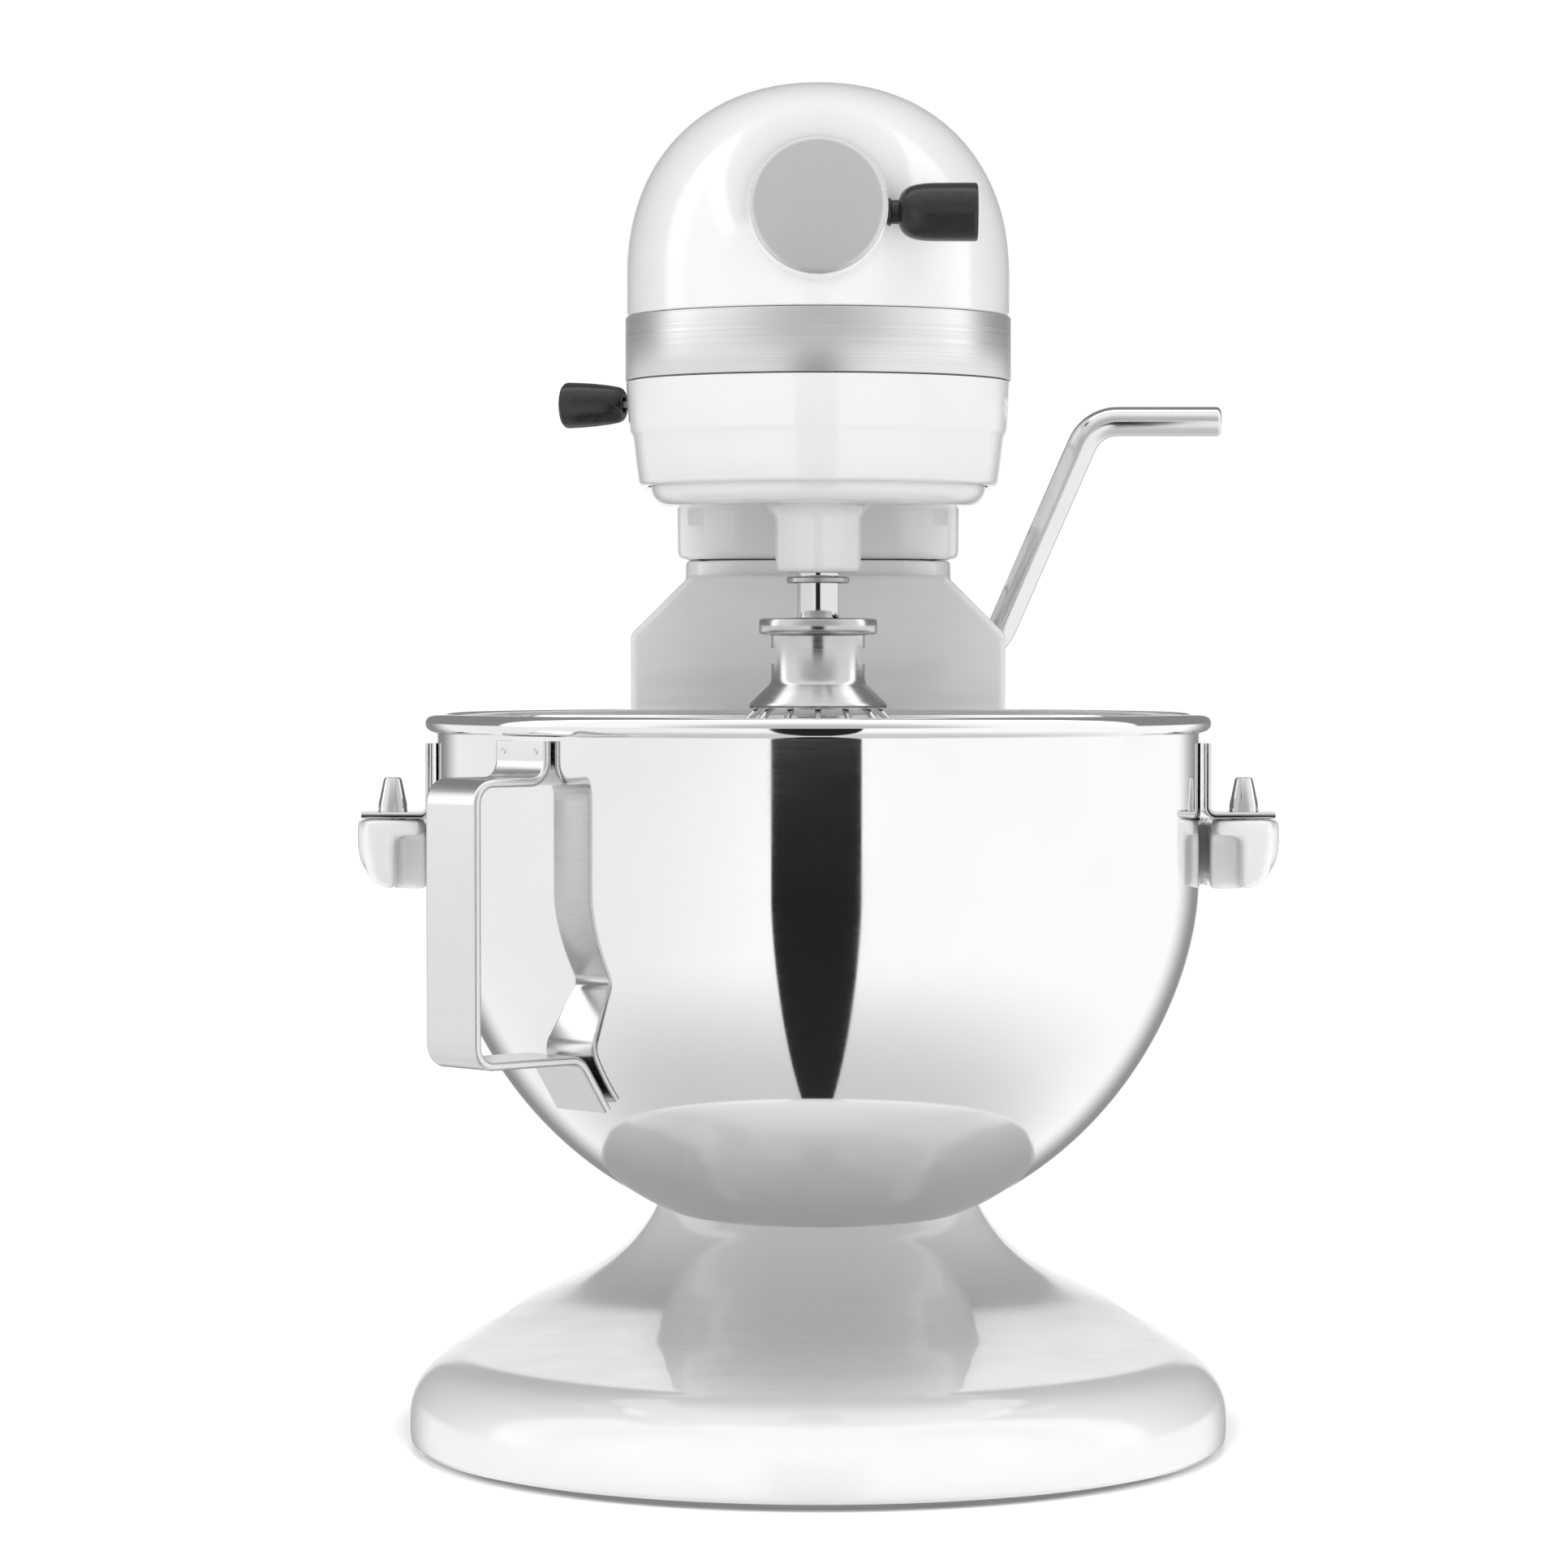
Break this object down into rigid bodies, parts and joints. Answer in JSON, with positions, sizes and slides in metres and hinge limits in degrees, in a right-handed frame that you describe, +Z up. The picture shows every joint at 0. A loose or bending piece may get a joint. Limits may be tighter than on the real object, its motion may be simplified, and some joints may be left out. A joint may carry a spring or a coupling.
{
  "type": "stand mixer",
  "caption": "Bowl-lift stand mixer: cast white stand and head, steel bowl on a sliding yoke, wire whip on a planetary drive, side lever and speed knob",
  "frame": {"origin": "centre of the bounding box at the level the feet stand on", "axes": "+Z up, -Y is the front with the attachment hub, +X is the side of the lift lever"},
  "size_m": [0.286, 0.3456, 0.4235],
  "materials": {
    "white_enamel": "glossy white enamel on cast metal",
    "polished_steel": "polished stainless steel",
    "chrome": "chrome plate",
    "brushed_band": "brushed along its length",
    "satin_aluminium": "satin, lightly grained",
    "black_knob": "satin black moulding",
    "rubber": "matte",
    "machined_steel": "machined steel",
    "bronze": "machined bronze",
    "copper": "copper windings and bars"
  },
  "bodies": {
    "stand": {"pedestal": "white_enamel", "base_plate": "machined_steel", "foot_front_left": "rubber", "foot_front_right": "rubber", "foot_rear_left": "rubber", "foot_rear_right": "rubber", "cord_gland": "rubber", "spring_bracket": "machined_steel", "lift_spring": "machined_steel", "handle_bushing": "black_knob", "gear_housing": "white_enamel", "motor_cover": "white_enamel", "rear_cover": "white_enamel", "trim_band": "brushed_band", "brush_cap_left": "black_knob", "brush_cap_right": "black_knob", "ring_gear": "machined_steel", "stator_core": "machined_steel", "front_bearing_bracket": "satin_aluminium", "rear_bearing_bracket": "satin_aluminium"},
    "yoke": {"bowl_support_yoke": "white_enamel", "locating_pin_left": "polished_steel", "locating_pin_right": "polished_steel", "bowl_latch_spring": "machined_steel", "lift_bracket": "machined_steel"},
    "bowl_set": {"bowl": "polished_steel", "bowl_handle": "polished_steel", "bowl_bracket_left": "polished_steel", "bowl_bracket_right": "polished_steel", "bowl_rear_clip": "polished_steel"},
    "lift_lever": {"lift_handle": "chrome", "lift_crank": "machined_steel"},
    "planetary": {"planetary_carrier": "white_enamel", "center_shaft": "machined_steel", "center_gear": "machined_steel", "center_bevel_gear": "machined_steel"},
    "agitator": {"agitator_shaft": "polished_steel", "agitator_pin": "machined_steel", "shaft_washer": "machined_steel", "agitator_pinion": "machined_steel"},
    "whip": {"whip_hub": "satin_aluminium", "whip_wire_1": "polished_steel", "whip_wire_2": "polished_steel", "whip_wire_3": "polished_steel", "whip_wire_4": "polished_steel", "whip_wire_5": "polished_steel", "whip_wire_6": "polished_steel", "whip_wire_7": "polished_steel"},
    "worm_cluster": {"worm_wheel": "bronze", "worm_wheel_shaft": "machined_steel"},
    "rotor": {"armature_shaft": "machined_steel", "armature_core": "copper", "commutator": "copper", "cooling_fan": "black_knob"},
    "hub_drive": {"hub_drive_shaft": "machined_steel", "hub_bevel_gear": "machined_steel"},
    "hub_clamp": {"hub_knob": "black_knob"},
    "hub_cap": {"hub_cover": "satin_aluminium"},
    "speed_control": {"speed_lever": "machined_steel", "speed_knob": "black_knob"}
  },
  "joints": [
    {"name": "bowl_lift", "type": "slide", "parent": "stand", "child": "yoke", "axis": [0, 0, -1], "range_m": [0, 0.036], "deforming": ["lift_spring"]},
    {"name": "bowl_lift_off", "type": "slide", "parent": "yoke", "child": "bowl_set", "axis": [0, 0, 1], "range_m": [0, 0.0125]},
    {"name": "lift_lever_swing", "type": "hinge", "parent": "stand", "child": "lift_lever", "pos_m": [0.05, 0.108, 0.2455], "axis": [-1, 0, 0], "range_deg": [0, 110]},
    {"name": "planetary_spin", "type": "hinge", "parent": "stand", "child": "planetary", "pos_m": [0, -0.045, 0.3], "axis": [0, 0, 1], "continuous": true},
    {"name": "agitator_spin", "type": "hinge", "parent": "planetary", "child": "agitator", "pos_m": [0, -0.069, 0.28], "axis": [0, 0, 1], "continuous": true},
    {"name": "whip_twist", "type": "hinge", "parent": "agitator", "child": "whip", "pos_m": [0, -0.069, 0.246], "axis": [0, 0, 1], "range_deg": [0, 30]},
    {"name": "worm_wheel_spin", "type": "hinge", "parent": "stand", "child": "worm_cluster", "pos_m": [0.0261, 0, 0.34], "axis": [0, 0, 1], "continuous": true},
    {"name": "motor_spin", "type": "hinge", "parent": "stand", "child": "rotor", "pos_m": [0, 0.05, 0.366], "axis": [0, 1, 0], "continuous": true},
    {"name": "hub_drive_spin", "type": "hinge", "parent": "stand", "child": "hub_drive", "pos_m": [0, -0.08, 0.379], "axis": [0, 1, 0], "continuous": true},
    {"name": "hub_knob_turn", "type": "hinge", "parent": "stand", "child": "hub_clamp", "pos_m": [0.03, -0.111, 0.378], "axis": [1, 0, 0], "continuous": true},
    {"name": "hub_cover_pull", "type": "slide", "parent": "stand", "child": "hub_cap", "axis": [0, -1, 0], "range_m": [0, 0.02]},
    {"name": "speed_lever_swing", "type": "hinge", "parent": "stand", "child": "speed_control", "pos_m": [-0.006, -0.004, 0.3266], "axis": [0, 0, 1], "range_deg": [0, 31]}
  ],
  "couplings": [
    {"joint": "lift_lever_swing", "follows": "bowl_lift", "rad_per_m": 53.25},
    {"joint": "agitator_spin", "follows": "planetary_spin", "ratio": -3},
    {"joint": "worm_wheel_spin", "follows": "planetary_spin", "ratio": -2.7143},
    {"joint": "motor_spin", "follows": "planetary_spin", "ratio": -65.143},
    {"joint": "hub_drive_spin", "follows": "planetary_spin", "ratio": -2}
  ]
}
